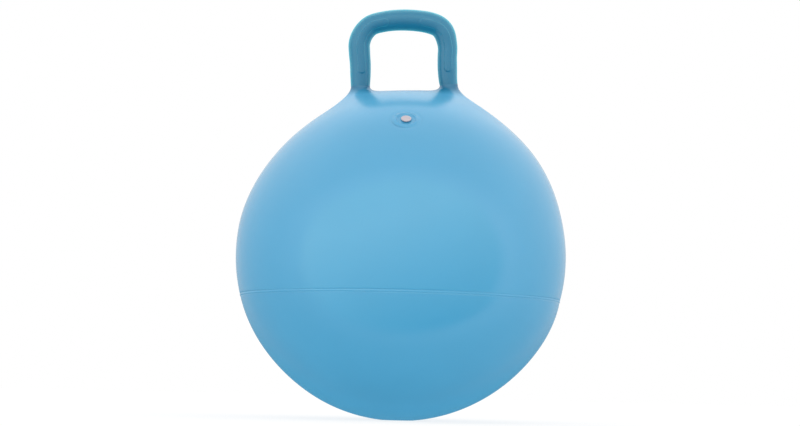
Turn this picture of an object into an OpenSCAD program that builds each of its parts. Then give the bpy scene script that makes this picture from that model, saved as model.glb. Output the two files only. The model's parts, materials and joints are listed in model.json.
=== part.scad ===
// Hopper ball: a blown-up PVC ball with a loop handle on top and a push-in valve plug.
// All lengths are millimetres. The origin is on the floor under the middle of the ball,
// +Z points up, the handle lies in the XZ plane and the valve is on the -Y side.

/* [Ball] */
// Outside diameter of the blown-up ball
ball_d = 450; // [400:5:600]
// How far the ball settles under its own weight, from a full sphere's height
ball_settle = 3; // [1:0.5:6]
// Thickness of the stretched skin
skin_wall = 1; // [0.7:0.1:2]
// Diameter of the flat patch on which the ball stands
foot_d = 44; // [30:2:70]

/* [Seam] */
// How far the seam lies below the middle of the ball
seam_drop = 58; // [30:1:90]
// Width of the weld between the rims of the two skins
weld_w = 0.6; // [0.4:0.1:1]
// Diameter of the round bead that runs along the weld
bead_d = 3; // [2.6:0.1:4]

/* [Leg roots] */
// Height of the weld that joins a leg to its root, above the crown of the ball
root_rise = 12; // [9:0.5:15]
// Slope of the shoulder where it meets the ball, in degrees seen from the ball's middle
shoulder_angle = 19.5; // [17:0.5:21]
// Radius of the hollow fillet between the shoulder and the leg
root_fillet_r = 17; // [13:0.5:19]

/* [Handle] */
// Distance between the centre lines of the two legs
leg_spacing = 121; // [114:1:140]
// Diameter of a leg where it is welded to its root
leg_root_d = 26; // [24:0.2:29]
// Diameter of the grip and of its corners
grip_d = 29.4; // [28:0.2:32]
// Thickness of the handle's wall
handle_wall = 2.5; // [1.5:0.1:4]
// Height of the top of the handle above the crown of the ball
handle_rise = 118.4; // [104:0.2:134]
// Radius of the corners, at the centre line of the tube
corner_r = 31.5; // [24:0.5:36]
// Radius of the arch of the grip, at the centre line of the tube
arch_r = 180; // [140:5:400]

/* [Grip pads] */
// Width of the raised pads that turn the corners of the handle
pad_w = 10.5; // [8:0.5:14]
// How far a pad stands proud of the tube
pad_rise = 0.5; // [0.3:0.1:1]
// Height above the leg's weld at which a pad starts, at the middle of its round end
pad_foot_rise = 22; // [14:1:30]
// Distance from the middle of the grip at which a pad ends, at the middle of its round end
pad_end_x = 28; // [20:0.5:32]

/* [Valve] */
// Angle between the valve and the vertical, seen from the ball's middle
valve_angle = 41.5; // [34:0.5:52]
// Diameter of the hole in the skin that the valve seat fills
seat_d = 32; // [28:0.5:36]
// Depth of the seat's flat below the ball's outline
seat_drop = 1; // [0.6:0.1:1.6]
// Thickness of the seat's plate
seat_plate_t = 3; // [2.5:0.1:4]
// Width of the flange that is welded to the inside of the skin
flange_w = 6; // [4:0.5:8]
// Width of the raised ring round the seat's flat
ring_w = 2.6; // [2:0.1:3.2]
// Height of the raised ring above the seat's flat
ring_h = 1.4; // [1:0.1:2]
// Bore of the valve
bore_d = 8; // [6:0.2:9]
// Length of the bore, through the plate and the neck
bore_len = 15; // [12:0.5:20]
// Wall of the neck round the bore
neck_wall = 3.4; // [2:0.2:4]

/* [Plug] */
// Diameter of the plug's head
plug_head_d = 14.4; // [13:0.2:16]
// Thickness of the plug's head
plug_head_t = 2; // [1.6:0.1:2.6]
// Gap left under the head, so that a nail can lift it
plug_gap = 0.3; // [0.2:0.05:0.5]
// Radial clearance between the plug's ribs and the bore
plug_clearance = 0.05; // [0.02:0.01:0.1]
// Depth of the grooves between the plug's ribs
rib_depth = 0.5; // [0.3:0.1:0.8]
// Number of ribs round the stem
rib_count = 4; // [2:1:5]

/* [Hidden] */
$fn = 96;
// Facets of a large circle where a thin edge depends on it
fine = 720;

// Colours, as they look in daylight
skin_colour = "#5FB0D6";
bowl_colour = "#56A8D0";
handle_colour = "#3F84A4";
plug_colour = "#D8D0D4";

// Cuts run past the faces that they open by this much
overrun = 2;

// Ball
ball_r = ball_d / 2;
ball_z = ball_r - ball_settle;
crown_z = ball_z + ball_r;
seam_z = ball_z - seam_drop;
seam_r = sqrt(pow(ball_r, 2) - pow(seam_drop, 2));
weld_top_z = seam_z + weld_w / 2;
weld_low_z = seam_z - weld_w / 2;

// The bowl is a slightly wider sphere, through the seam and through the edge of the foot
foot_r = foot_d / 2;
bowl_z = (pow(seam_r, 2) + pow(seam_z, 2) - pow(foot_r, 2)) / (2 * seam_z);
bowl_r = sqrt(pow(foot_r, 2) + pow(bowl_z, 2));

// Legs and their roots. A root is turned about the line from the ball's middle to its leg
leg_x = leg_spacing / 2;
root_z = crown_z + root_rise;
root_tilt = atan(leg_x / (root_z - ball_z));
root_neck_r = leg_root_d / 2 - skin_wall;
leg_bore_r = leg_root_d / 2 - handle_wall;
// The shoulder dives under the ball a little steeper than a tangent, so that it ends there
shoulder_dive = 2.5;
shoulder_slope = shoulder_angle + shoulder_dive;

// Handle
grip_r = grip_d / 2;
bar_z = crown_z + handle_rise - grip_r;
arch_z = bar_z - arch_r;
corner_x = leg_x - corner_r;
arch_half_angle = asin(corner_x / (arch_r - corner_r));
corner_z = arch_z + (arch_r - corner_r) * cos(arch_half_angle);
pad_foot_z = root_z + pad_foot_rise;
// Steps in which a quarter turn of a pad's outline is drawn
pad_steps = 8;
// A ball closes the tube wherever its curve changes, and stands out by this hair's breadth
knuckle_swell = 0.1;

// Valve, measured outwards along its own axis from the ball's middle
seat_flat = ball_r - seat_drop;
plate_low = seat_flat - seat_plate_t;
neck_low = seat_flat - bore_len;
bore_r = bore_d / 2;
neck_r = bore_r + neck_wall;
seat_r = seat_d / 2;
flange_r = seat_r + flange_w;
ring_r = ring_w / 2;
ring_mid_r = seat_r - ring_r;

// Plug
stem_r = bore_r - plug_clearance;
groove_r = stem_r - rib_depth;
head_low = seat_flat + plug_gap;
head_top = head_low + plug_head_t;
head_r = plug_head_d / 2;
head_chamfer = plug_head_t / 4;
ring_groove = plug_head_t / 8;
ring_groove_r = head_r / 2;
mark_r = head_r / 8;
rib_pitch = bore_len / (rib_count + 1);

// A solid turned about the line from the ball's middle at an angle from the vertical.
// The profile inside holds distances from that line and along it.
module turned_towards(tilt_x, tilt_y) {
    translate([0, 0, ball_z])
        rotate([tilt_x, tilt_y, 0])
            rotate_extrude()
                children();
}

// Outline of a leg's root: a cone shoulder that runs out into the ball, and a hollow fillet
// that turns it up to the leg
module root_profile() {
    rim = ball_r * [sin(shoulder_angle), cos(shoulder_angle)];
    sunk_rim = rim + overrun * [cos(shoulder_slope), -sin(shoulder_slope)];
    fillet_mid_r = root_neck_r + root_fillet_r;
    fillet_start_r = fillet_mid_r - root_fillet_r * sin(shoulder_slope);
    fillet_start = rim[1] + (rim[0] - fillet_start_r) * tan(shoulder_slope);
    fillet_mid = fillet_start + root_fillet_r * cos(shoulder_slope);
    difference() {
        polygon([
            [0, rim[1] - sunk_rim[0]],
            sunk_rim,
            [fillet_start_r, fillet_start],
            [fillet_mid_r, fillet_mid],
            [0, fillet_mid]
        ]);
        translate([fillet_mid_r, fillet_mid])
            circle(r = root_fillet_r);
    }
}

// The closed outline of the ball's top with both roots
module crown_form() {
    translate([0, 0, ball_z])
        sphere(r = ball_r);
    for (side = [-1, 1]) {
        turned_towards(0, side * root_tilt)
            root_profile();
        translate([side * leg_x, 0, ball_z])
            cylinder(r = leg_root_d / 2, h = root_z - ball_z);
    }
}

// Outline of the hollow under a shoulder: a plain cone, a wall's thickness inside it
module shoulder_hollow_profile() {
    rim = ball_r * [sin(shoulder_angle), cos(shoulder_angle)];
    inset = skin_wall * [sin(shoulder_slope), cos(shoulder_slope)];
    low = rim - inset + overrun * [cos(shoulder_slope), -sin(shoulder_slope)];
    top_r = leg_bore_r / 2;
    top = low[1] + (low[0] - top_r) * tan(shoulder_slope);
    polygon([
        [0, low[1] - low[0]],
        low,
        [top_r, top],
        [0, top]
    ]);
}

// The air space under the ball's top, which opens into both legs
module crown_hollow() {
    translate([0, 0, ball_z])
        sphere(r = ball_r - skin_wall);
    for (side = [-1, 1]) {
        turned_towards(0, side * root_tilt)
            shoulder_hollow_profile();
        translate([side * leg_x, 0, ball_z])
            cylinder(r = leg_bore_r, h = root_z - ball_z + overrun);
    }
}

// The bowl's outline, inset by a wall
module bowl_form(inset) {
    translate([0, 0, bowl_z])
        sphere(r = bowl_r - inset);
}

// Everything between two heights
module slab(low, high) {
    reach = ball_d + overrun;
    translate([-reach / 2, -reach / 2, low])
        cube([reach, reach, high - low]);
}

// The upper skin: the dome with its two open roots and the round hole for the valve
module upper_skin() {
    color(skin_colour)
        difference() {
            intersection() {
                crown_form();
                slab(weld_top_z, root_z);
            }
            crown_hollow();
            valve_hole();
        }
}

// The hole that the valve seat fills
module valve_hole() {
    translate([0, 0, ball_z])
        rotate([valve_angle, 0, 0])
            translate([0, 0, neck_low])
                cylinder(r = seat_r, h = bore_len + seat_drop + overrun);
}

// The lower skin: the bowl, with the flat patch that it stands on
module lower_skin() {
    color(bowl_colour)
        difference() {
            intersection() {
                bowl_form(0);
                slab(0, weld_low_z);
            }
            intersection() {
                bowl_form(skin_wall);
                slab(skin_wall, seam_z);
            }
        }
}

// The weld that joins the two skins, with the bead that it squeezes out on both sides
module seam_bead() {
    color(bowl_colour)
        rotate_extrude()
            difference() {
                translate([seam_r - skin_wall / 2, seam_z])
                    circle(d = bead_d);
                rim_section(ball_r, ball_z, weld_top_z);
                rim_section(bowl_r, bowl_z, weld_low_z - bead_d);
            }
}

// Section through the rim of a skin, from a given height up to a bead's width above it
module rim_section(radius, mid_z, low) {
    intersection() {
        difference() {
            translate([0, mid_z])
                circle(r = radius, $fn = fine);
            translate([0, mid_z])
                circle(r = radius - skin_wall, $fn = fine);
        }
        translate([seam_r - bead_d, low])
            square([2 * bead_d, bead_d]);
    }
}

// The bent tube of the handle with a given radius at the grip and at the foot of each leg,
// run past its feet by a given length
module tube(radius, foot_radius, past) {
    translate([0, 0, arch_z])
        rotate([90, 0, 0])
            rotate([0, 0, 90 - arch_half_angle])
                rotate_extrude(angle = 2 * arch_half_angle)
                    translate([arch_r, 0])
                        circle(r = radius);
    for (side = [0, 1])
        mirror([side, 0, 0]) {
            translate([arch_r * sin(arch_half_angle), 0, arch_z + arch_r * cos(arch_half_angle)])
                sphere(r = radius + knuckle_swell);
            translate([corner_x, 0, corner_z])
                rotate([90, 0, 0])
                    rotate_extrude(angle = 90 - arch_half_angle)
                        translate([corner_r, 0])
                            circle(r = radius);
            translate([leg_x, 0, corner_z])
                sphere(r = radius + knuckle_swell);
            translate([leg_x, 0, root_z])
                cylinder(r1 = foot_radius, r2 = radius, h = corner_z - root_z);
            if (past > 0)
                translate([leg_x, 0, root_z - past])
                    cylinder(r = foot_radius, h = 2 * past);
        }
}

// Points along an arc, without its first point if skip is 1
function arc_points(mid, radius, from, to, steps, skip = 0) = [
    for (i = [skip : steps])
        let (angle = from + (to - from) * i / steps)
            mid + radius * [cos(angle), sin(angle)]
];

// Outline of a pad seen from the front: up the leg, round the corner and along the grip
module pad_outline() {
    half = pad_w / 2;
    turn = 90 - arch_half_angle;
    stop = 90 - asin(pad_end_x / arch_r);
    corner = [corner_x, corner_z];
    arch = [0, arch_z];
    polygon(concat(
        arc_points([leg_x, pad_foot_z], half, 180, 360, 2 * pad_steps),
        arc_points(corner, corner_r + half, 0, turn, pad_steps),
        arc_points(arch, arch_r + half, turn, stop, pad_steps, 1),
        arc_points(arch + arch_r * [cos(stop), sin(stop)], half, stop, stop + 180, 2 * pad_steps, 1),
        arc_points(arch, arch_r - half, stop, turn, pad_steps, 1),
        arc_points(corner, corner_r - half, turn, 0, pad_steps, 1)
    ));
}

// The handle: a hollow bent tube, with two raised pads on its front and two on its back
module handle() {
    color(handle_colour)
        difference() {
            union() {
                tube(grip_r, leg_root_d / 2, 0);
                intersection() {
                    tube(grip_r + pad_rise, leg_root_d / 2 + pad_rise, 0);
                    for (side = [0, 1])
                        mirror([side, 0, 0])
                            rotate([90, 0, 0])
                                linear_extrude(height = grip_d + 2 * overrun, center = true)
                                    pad_outline();
                }
            }
            tube(grip_r - handle_wall, leg_bore_r, overrun);
        }
}

// The valve seat: a thick disc with a raised ring, a flange under the skin and a bored neck
module valve_seat() {
    color(skin_colour)
        difference() {
            turned_towards(valve_angle, 0)
                union() {
                    translate([0, plate_low])
                        square([seat_r, seat_plate_t]);
                    translate([0, neck_low])
                        square([neck_r, bore_len]);
                    translate([ring_mid_r - ring_r, plate_low])
                        square([ring_w, seat_plate_t + ring_h - ring_r]);
                    translate([ring_mid_r, seat_flat + ring_h - ring_r])
                        circle(r = ring_r);
                    flange_profile();
                }
            translate([0, 0, ball_z])
                rotate([valve_angle, 0, 0])
                    translate([0, 0, neck_low - overrun])
                        cylinder(r = bore_r, h = bore_len + 2 * overrun);
        }
}

// The flange, which follows the inside of the skin
module flange_profile() {
    intersection() {
        translate([0, plate_low])
            square([flange_r, seat_plate_t]);
        circle(r = ball_r - skin_wall, $fn = fine);
    }
}

// The plug: a round head with a chamfered edge and a shallow ring on top, and a stem whose
// ribs have sloping flanks and grip the bore, with a short nose that finds it
module valve_plug() {
    stem_low = head_low - bore_len;
    nose_low = stem_low - rib_pitch / 2;
    ribs = [
        for (rib = [1 : rib_count])
            let (top = head_low - (rib - 0.5) * rib_pitch)
                each [
                    [groove_r, top],
                    [stem_r, top],
                    [stem_r, top - rib_pitch / 4],
                    [groove_r, top - rib_pitch / 2]
                ]
    ];
    color(plug_colour)
        turned_towards(valve_angle, 0)
            polygon(concat(
                [
                    [0, head_top - ring_groove],
                    [mark_r, head_top - ring_groove],
                    [mark_r, head_top],
                    [ring_groove_r, head_top],
                    [ring_groove_r + ring_groove, head_top - ring_groove],
                    [ring_groove_r + 2 * ring_groove, head_top],
                    [head_r - head_chamfer, head_top],
                    [head_r, head_top - head_chamfer],
                    [head_r, head_low],
                    [groove_r, head_low]
                ],
                ribs,
                [
                    [groove_r, stem_low],
                    [groove_r / 2, nose_low],
                    [0, nose_low]
                ]
            ));
}

upper_skin();
lower_skin();
seam_bead();
handle();
valve_seat();
valve_plug();
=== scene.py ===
"""A hopper ball: a blown-up PVC ball with a loop handle on top and a push-in valve plug.

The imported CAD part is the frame. Each piece of the ball is modelled here over its CAD node and
gets the finish of the real material. The file is laid out as a Blender add-on: the scene holds
the sizes and colours, each piece has its operator, and a panel in the sidebar lists them.

All lengths are metres, in the frame of the CAD part: Z points up, the handle lies in the XZ plane
and the valve is on the -Y side. Left is the -X side.
"""
import json
import math

import bpy
import numpy as np
from bpy.props import FloatProperty, FloatVectorProperty, PointerProperty, StringProperty
from mathutils import Matrix, Vector


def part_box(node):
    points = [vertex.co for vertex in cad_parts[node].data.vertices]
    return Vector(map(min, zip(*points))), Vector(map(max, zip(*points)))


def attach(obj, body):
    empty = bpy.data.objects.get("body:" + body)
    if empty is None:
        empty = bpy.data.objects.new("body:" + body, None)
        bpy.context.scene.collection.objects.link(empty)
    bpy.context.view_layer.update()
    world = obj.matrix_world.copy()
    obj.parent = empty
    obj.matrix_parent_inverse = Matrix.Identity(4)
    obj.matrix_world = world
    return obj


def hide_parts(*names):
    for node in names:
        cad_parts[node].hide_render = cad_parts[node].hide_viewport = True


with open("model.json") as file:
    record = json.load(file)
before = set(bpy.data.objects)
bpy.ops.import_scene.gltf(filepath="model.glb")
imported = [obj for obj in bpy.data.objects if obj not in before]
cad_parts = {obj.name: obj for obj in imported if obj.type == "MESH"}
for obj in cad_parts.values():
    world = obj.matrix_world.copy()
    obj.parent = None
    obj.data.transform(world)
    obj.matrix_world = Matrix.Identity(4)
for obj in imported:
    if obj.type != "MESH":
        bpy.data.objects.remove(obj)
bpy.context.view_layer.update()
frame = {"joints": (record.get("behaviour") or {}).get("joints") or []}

bl_info = {
    "name": "Hopper Ball",
    "version": (1, 0, 0),
    "blender": (4, 5, 0),
    "location": "View3D > Sidebar > Hopper Ball",
    "description": "Builds a hopper ball with its handle, valve and plug over the packed CAD part",
    "category": "Object",
}

MM = 0.001
PHOTO_WIDTH = 800
PHOTO_HEIGHT = 426

# Places that the CAD part settles
SEAM_LOW, SEAM_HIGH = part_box("seam_bead")
HANDLE_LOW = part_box("handle")[0]
SEAM_Z = (SEAM_LOW.z + SEAM_HIGH.z) / 2
VALVE_AXIS = Vector(frame["joints"][0]["axis"]).normalized()

# A distance below this one counts as none
NEAR_ZERO = 1e-9

# The Mix node's sockets for colours and for vectors, by number: first, second and result
COLOUR_A, COLOUR_B, COLOUR_MIX = 6, 7, 2
VECTOR_A, VECTOR_B, VECTOR_MIX = 4, 5, 1

# Size of the soft clouds in the skin's and in the handle's colour, and depth of their orange peel
SKIN_CLOUD, HANDLE_CLOUD = 70 * MM, 30 * MM
SKIN_PEEL, HANDLE_PEEL = 0.004 * MM, 0.006 * MM
PVC_IOR = 1.53

# The middle of the handle's tube and its radius (x, z, radius), in millimetres, from the left weld
# over the grip to the right weld. The air in the ball makes the soft tube lean a little to the
# left, with a fuller left leg and left corner.
TUBE_STATIONS = (
    (-61.3, 456.0, 13.2),
    (-61.6, 472.0, 14.1),
    (-62.2, 488.0, 14.5),
    (-63.8, 504.0, 14.8),
    (-64.1, 518.0, 14.9),
    (-58.8, 531.9, 14.6),
    (-48.2, 542.7, 14.3),
    (-32.0, 547.9, 14.3),
    (-15.0, 550.5, 14.5),
    (1.0, 551.2, 14.7),
    (17.0, 550.5, 14.8),
    (32.0, 548.3, 15.0),
    (45.0, 543.4, 14.9),
    (53.3, 533.6, 14.8),
    (57.8, 516.0, 13.6),
    (57.8, 500.0, 13.5),
    (58.3, 484.0, 13.5),
    (59.3, 470.0, 12.9),
    (60.9, 460.0, 12.3),
)
STATION_GRIP_RADIUS = 14.7


class BallShape(bpy.types.PropertyGroup):
    """Sizes of the two skins and of the seam between them."""

    radius: FloatProperty(
        name="Ball radius",
        description="Outside radius of the blown-up ball",
        default=225 * MM,
        unit="LENGTH",
    )
    settle: FloatProperty(
        name="Settling",
        description="How far the ball sinks under its own weight",
        default=3 * MM,
        unit="LENGTH",
    )
    wall: FloatProperty(
        name="Skin thickness",
        description="Thickness of the stretched skin",
        default=1 * MM,
        unit="LENGTH",
    )
    foot_radius: FloatProperty(
        name="Foot radius",
        description="Radius of the flat patch on which the ball stands",
        default=22 * MM,
        unit="LENGTH",
    )
    root_reach: FloatVectorProperty(
        name="Root reach",
        description="How far the left and the right leg's flared root runs out over the ball",
        default=(66 * MM, 90 * MM),
        size=2,
        unit="LENGTH",
    )
    saddle_rise: FloatProperty(
        name="Saddle rise",
        description="How far the skin between the two roots stands above the round ball",
        default=3.2 * MM,
        unit="LENGTH",
    )
    dome_lean: FloatProperty(
        name="Dome lean",
        description="How far the blown-up dome bulges to the right and draws in on the left",
        default=5.7 * MM,
        unit="LENGTH",
    )
    flank_bulge: FloatProperty(
        name="Flank bulge",
        description="How far the bowl's right flank is fuller than the round ball",
        default=2.0 * MM,
        unit="LENGTH",
    )
    bead_height: FloatProperty(
        name="Seam height",
        description="How far the seam's bead stands out of the skin",
        default=0.5 * MM,
        unit="LENGTH",
    )


class HandleShape(bpy.types.PropertyGroup):
    """Sizes of the loop handle and of its raised grip pads."""

    grip_radius: FloatProperty(
        name="Grip radius",
        description="Radius of the tube in the middle of the grip",
        default=14.7 * MM,
        unit="LENGTH",
    )
    pad_width: FloatProperty(
        name="Pad width",
        description="Width of the raised pads",
        default=10.5 * MM,
        unit="LENGTH",
    )
    pad_rise: FloatProperty(
        name="Pad rise",
        description="How far a pad stands out of the tube",
        default=0.9 * MM,
        unit="LENGTH",
    )
    pad_foot: FloatVectorProperty(
        name="Pad start",
        description="Height of the left and the right pad's lower end above the handle's CAD weld",
        default=(13.7 * MM, 19.3 * MM),
        size=2,
        unit="LENGTH",
    )
    pad_end: FloatVectorProperty(
        name="Pad end",
        description="Distance of the left and the right pad's upper end from the grip's middle",
        default=(23.5 * MM, 20.5 * MM),
        size=2,
        unit="LENGTH",
    )
    pad_droop: FloatProperty(
        name="Pad droop",
        description="Angle by which a pad lies below the middle of the grip's front",
        default=math.radians(16.5),
        subtype="ANGLE",
    )


class ValveShape(bpy.types.PropertyGroup):
    """Sizes of the valve's boss and of its plug."""

    crest_radius: FloatProperty(
        name="Ring radius",
        description="Radius of the raised ring's crest",
        default=13.6 * MM,
        unit="LENGTH",
    )
    crest_height: FloatProperty(
        name="Ring height",
        description="Height of the raised ring above the boss's flat",
        default=1.7 * MM,
        unit="LENGTH",
    )
    boss_radius: FloatProperty(
        name="Boss radius",
        description="Radius of the boss where it passes through the skin",
        default=16 * MM,
        unit="LENGTH",
    )
    boss_drop: FloatProperty(
        name="Boss drop",
        description="Depth of the boss's flat below the ball's outline",
        default=1 * MM,
        unit="LENGTH",
    )
    bore_radius: FloatProperty(
        name="Bore radius",
        description="Radius of the valve's bore",
        default=4 * MM,
        unit="LENGTH",
    )
    bore_length: FloatProperty(
        name="Bore length",
        description="Length of the bore through the boss and its neck",
        default=15 * MM,
        unit="LENGTH",
    )
    head_radius: FloatProperty(
        name="Plug head radius",
        description="Radius of the plug's head",
        default=6.6 * MM,
        unit="LENGTH",
    )
    head_thickness: FloatProperty(
        name="Plug head thickness",
        description="Thickness of the plug's head",
        default=1.5 * MM,
        unit="LENGTH",
    )
    head_gap: FloatProperty(
        name="Gap under the head",
        description="Gap between the boss and the plug's head",
        default=1.2 * MM,
        unit="LENGTH",
    )


class Finish(bpy.types.PropertyGroup):
    """Colours, as sRGB hex values."""

    skin: StringProperty(
        name="Skin colour",
        description="Colour of the ball's skin, as an sRGB hex value",
        default="#4B9EC7",
    )
    # Painted light: the skin is painted in this paler colour towards the crown, to lift the shade
    # that the handle casts round its roots
    painted_light_skin: StringProperty(
        name="Stretched skin colour",
        description="Colour of the skin where the handle's roots stretch it, as an sRGB hex value",
        default="#4DA3CD",
    )
    handle: StringProperty(
        name="Handle colour",
        description="Colour of the thick-walled handle, as an sRGB hex value",
        default="#086A8F",
    )
    plug: StringProperty(
        name="Plug colour",
        description="Colour of the valve's plug, as an sRGB hex value",
        default="#C0B6BB",
    )


def linear_colour(hex_value):
    """The linear RGBA colour of an sRGB hex value such as "#5FB0D6"."""
    shares = [int(hex_value[i:i + 2], 16) / 255 for i in (1, 3, 5)]
    linear = [s / 12.92 if s <= 0.04045 else ((s + 0.055) / 1.055) ** 2.4 for s in shares]
    return (*linear, 1.0)


def darkened(colour, share):
    """A linear colour at a share of its brightness."""
    return (*[c * share for c in colour[:3]], 1.0)


def add_node(tree, kind, settings=None, values=None, links=None):
    """Adds a node of a kind, with its settings, its sockets' values and the links into it."""
    made = tree.nodes.new(kind)
    for name, value in (settings or {}).items():
        setattr(made, name, value)
    for name, value in (values or {}).items():
        made.inputs[name].default_value = value
    for name, output in (links or {}).items():
        tree.links.new(output, made.inputs[name])
    return made


def new_material(name):
    """An empty node material and its tree."""
    material = bpy.data.materials.new(name)
    material.use_nodes = True
    material.node_tree.nodes.clear()
    return material, material.node_tree


def pvc_shader(tree, place, colour, roughness, peel_depth, bloom=0.0):
    """The shader of soft PVC from a rotating mould: glossy, with a faint orange peel, and milky
    enough for a little light to wander inside it. A bloom lightens its edges, as dust and
    plasticiser do on a part that is handled."""
    peel_size = 5 * MM
    peel = add_node(
        tree, "ShaderNodeTexNoise", {}, {"Scale": 1 / peel_size, "Detail": 1.0},
        {"Vector": place},
    )
    bump = add_node(
        tree, "ShaderNodeBump", {}, {"Strength": 1.0, "Distance": peel_depth},
        {"Height": peel.outputs["Fac"]},
    )
    shader = add_node(
        tree, "ShaderNodeBsdfPrincipled", {},
        {
            "Roughness": roughness,
            "IOR": PVC_IOR,
            "Subsurface Weight": 0.1,
            "Subsurface Radius": (0.5, 0.8, 1.0),
            "Subsurface Scale": 4 * MM,
            "Sheen Weight": bloom,
            "Sheen Roughness": 0.5,
            "Sheen Tint": (0.15, 0.9, 1.0, 1.0),
        },
        {"Base Color": colour, "Normal": bump.outputs["Normal"]},
    )
    add_node(tree, "ShaderNodeOutputMaterial", {}, {}, {"Surface": shader.outputs["BSDF"]})
    return shader


def clouded_colour(tree, place, base, shade_share, cloud_size):
    """A colour that clouds over softly, as where the PVC paste lay thicker in the mould."""
    clouds = add_node(
        tree, "ShaderNodeTexNoise", {}, {"Scale": 1 / cloud_size, "Detail": 2.0, "Roughness": 0.5},
        {"Vector": place},
    )
    tint = add_node(
        tree, "ShaderNodeMix", {"data_type": "RGBA"},
        {COLOUR_A: darkened(base, shade_share), COLOUR_B: base}, {"Factor": clouds.outputs["Fac"]},
    )
    return tint.outputs[COLOUR_MIX]


def rise_along(tree, place, direction, start, stop, low=0.0, high=1.0, curve="LINEAR"):
    """A value that goes from low to high along a direction, between two distances along it."""
    distance = add_node(
        tree, "ShaderNodeVectorMath", {"operation": "DOT_PRODUCT"}, {1: direction}, {0: place}
    )
    rise = add_node(
        tree, "ShaderNodeMapRange", {"interpolation_type": curve},
        {"From Min": start, "From Max": stop, "To Min": low, "To Max": high},
        {"Value": distance.outputs["Value"]},
    )
    return rise.outputs["Result"]


def weld_colour(tree, place, finish):
    """The pale colour of the skin, painted paler still towards the crown round the roots, as
    painted light that lifts the shade the handle casts there, and the deep one of the thick
    handle, which meet at the handle's welds, the left one a little lower than the right."""
    left_height, right_height = 446 * MM, 448 * MM
    half_fade = 8 * MM
    # Heights between which the painted light on the crown comes in
    crown_light_start, crown_light_stop = 380 * MM, 440 * MM
    leg_x = TUBE_STATIONS[-1][0] * MM
    middle = (left_height + right_height) / 2
    # Upwards, tilted so that both welds lie at one height
    up = ((left_height - right_height) / (2 * leg_x), 0, 1)
    skin = clouded_colour(tree, place, linear_colour(finish.skin), 0.95, SKIN_CLOUD)
    # Painted light: towards the crown the skin is painted paler, to lift the shade that the handle
    # casts round its roots
    stretched = rise_along(tree, place, up, crown_light_start, crown_light_stop)
    thin = add_node(
        tree, "ShaderNodeMix", {"data_type": "RGBA"},
        {COLOUR_B: linear_colour(finish.painted_light_skin)}, {"Factor": stretched, COLOUR_A: skin},
    )
    thick = clouded_colour(tree, place, linear_colour(finish.handle), 0.93, HANDLE_CLOUD)
    share = rise_along(tree, place, up, middle - half_fade, middle + half_fade, curve="SMOOTHSTEP")
    tint = add_node(
        tree, "ShaderNodeMix", {"data_type": "RGBA"}, {},
        {"Factor": share, COLOUR_A: thin.outputs[COLOUR_MIX], COLOUR_B: thick},
    )
    return tint.outputs[COLOUR_MIX]


def dome_material(name, finish):
    """Rotomoulded PVC, stretched thin by the air inside: smooth enough to mirror the room softly,
    duller on the pulled crown, slightly clouded in colour, and deeper at the handle's welds."""
    smooth, dull = 0.12, 0.27
    smooth_below, dull_above = 388 * MM, 420 * MM
    material, tree = new_material(name)
    place = add_node(tree, "ShaderNodeTexCoord").outputs["Object"]
    shader = pvc_shader(tree, place, weld_colour(tree, place, finish), smooth, SKIN_PEEL)
    roughness = rise_along(tree, place, (0, 0, 1), smooth_below, dull_above, smooth, dull)
    tree.links.new(roughness, shader.inputs["Roughness"])
    return material


def skin_material(name, finish, shade_share, roughness):
    """Rotomoulded PVC in the skin's colour alone, for the pieces away from the handle."""
    material, tree = new_material(name)
    place = add_node(tree, "ShaderNodeTexCoord").outputs["Object"]
    colour = clouded_colour(tree, place, linear_colour(finish.skin), shade_share, SKIN_CLOUD)
    pvc_shader(tree, place, colour, roughness, SKIN_PEEL)
    return material


def handle_material(name, finish):
    """Rotomoulded PVC left thick and unstretched: deeper in colour and more satin than the ball,
    with a bloom that lightens its edges. It pales into the ball's skin at the welds."""
    material, tree = new_material(name)
    place = add_node(tree, "ShaderNodeTexCoord").outputs["Object"]
    colour = weld_colour(tree, place, finish)
    pvc_shader(tree, place, colour, roughness=0.27, peel_depth=HANDLE_PEEL, bloom=1.0)
    return material


def plug_material(name, finish):
    """Injection-moulded hard PVC: pale and nearly matt, greyed a little by handling."""
    soil_size = 3 * MM
    material, tree = new_material(name)
    place = add_node(tree, "ShaderNodeTexCoord").outputs["Object"]
    colour = clouded_colour(tree, place, linear_colour(finish.plug), 0.88, soil_size)
    shader = add_node(
        tree, "ShaderNodeBsdfPrincipled", {},
        {"Roughness": 0.45, "IOR": PVC_IOR, "Subsurface Weight": 0.1, "Subsurface Scale": 2 * MM},
        {"Base Color": colour},
    )
    add_node(tree, "ShaderNodeOutputMaterial", {}, {}, {"Surface": shader.outputs["BSDF"]})
    return material


def add_piece(name, points, faces, material, node, body):
    """Links a smooth mesh that stands for a CAD node and rides on its body."""
    mesh = bpy.data.meshes.new(name)
    mesh.from_pydata([tuple(p) for p in points], [], [tuple(int(i) for i in f) for f in faces])
    mesh.validate()
    mesh.shade_smooth()
    mesh.materials.append(material)
    piece = bpy.data.objects.new(name, mesh)
    bpy.context.scene.collection.objects.link(piece)
    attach(piece, body)
    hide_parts(node)
    return piece


class Net:
    """Points and faces that are gathered ring by ring."""

    def __init__(self):
        self.points = []
        self.faces = []

    def add(self, points):
        """Adds points and returns their numbers."""
        first = len(self.points)
        self.points.extend(points)
        return np.arange(first, len(self.points))

    def band(self, ring, other):
        """Joins two closed rings of the same count with four-sided faces."""
        for i in range(len(ring)):
            j = (i + 1) % len(ring)
            self.faces.append((ring[i], ring[j], other[j], other[i]))

    def fan(self, ring, middle):
        """Closes a ring with a fan of faces round a point that is there already."""
        for i in range(len(ring)):
            self.faces.append((ring[i], ring[(i + 1) % len(ring)], middle))


def unit(vectors):
    """The same directions, with a length of 1."""
    return vectors / np.linalg.norm(vectors, axis=-1, keepdims=True)


def mix(a, b, share):
    """A value between a and b."""
    return a + (b - a) * share


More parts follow.
